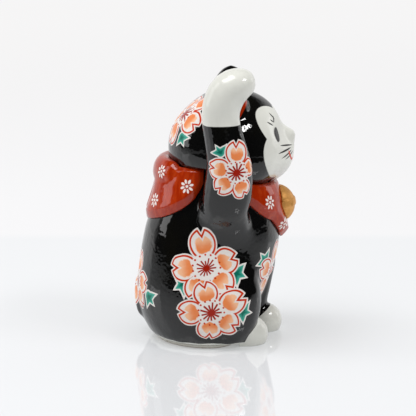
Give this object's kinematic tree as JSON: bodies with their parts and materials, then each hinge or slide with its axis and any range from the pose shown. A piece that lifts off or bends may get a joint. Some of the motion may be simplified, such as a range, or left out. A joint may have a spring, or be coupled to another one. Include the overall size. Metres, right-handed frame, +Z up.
{
  "type": "lucky cat figurine",
  "caption": "Seated beckoning cat figurine in black and white glazed porcelain, with a raised paw, red kerchief and bib, gold bell and painted cherry blossoms.",
  "frame": {"origin": "middle of the object's bounding box in plan, on the plane it stands on", "axes": "+Z up; the cat faces -Y; its right side, with the raised arm, is towards -X"},
  "size_m": [0.0728, 0.0692, 0.1196],
  "materials": {
    "black_glaze": "glossy black overglaze on porcelain",
    "white_glaze": "glossy clear glaze on white porcelain",
    "bare_porcelain": "unglazed, ground flat",
    "red_enamel": "glossy iron-red overglaze enamel",
    "gold_lustre": "burnished gold lustre on porcelain"
  },
  "bodies": {
    "root": {"torso_shell": "black_glaze", "foot_slab": "bare_porcelain", "head_shell": "black_glaze", "right_ear": "black_glaze", "left_ear": "black_glaze", "raised_arm": "black_glaze", "lowered_foreleg": "black_glaze", "right_hind_foot": "white_glaze", "left_hind_foot": "white_glaze", "tail": "black_glaze", "bib": "red_enamel", "right_kerchief_flap": "red_enamel", "left_kerchief_flap": "red_enamel", "kerchief_knot": "red_enamel", "bell": "gold_lustre"}
  },
  "joints": []
}
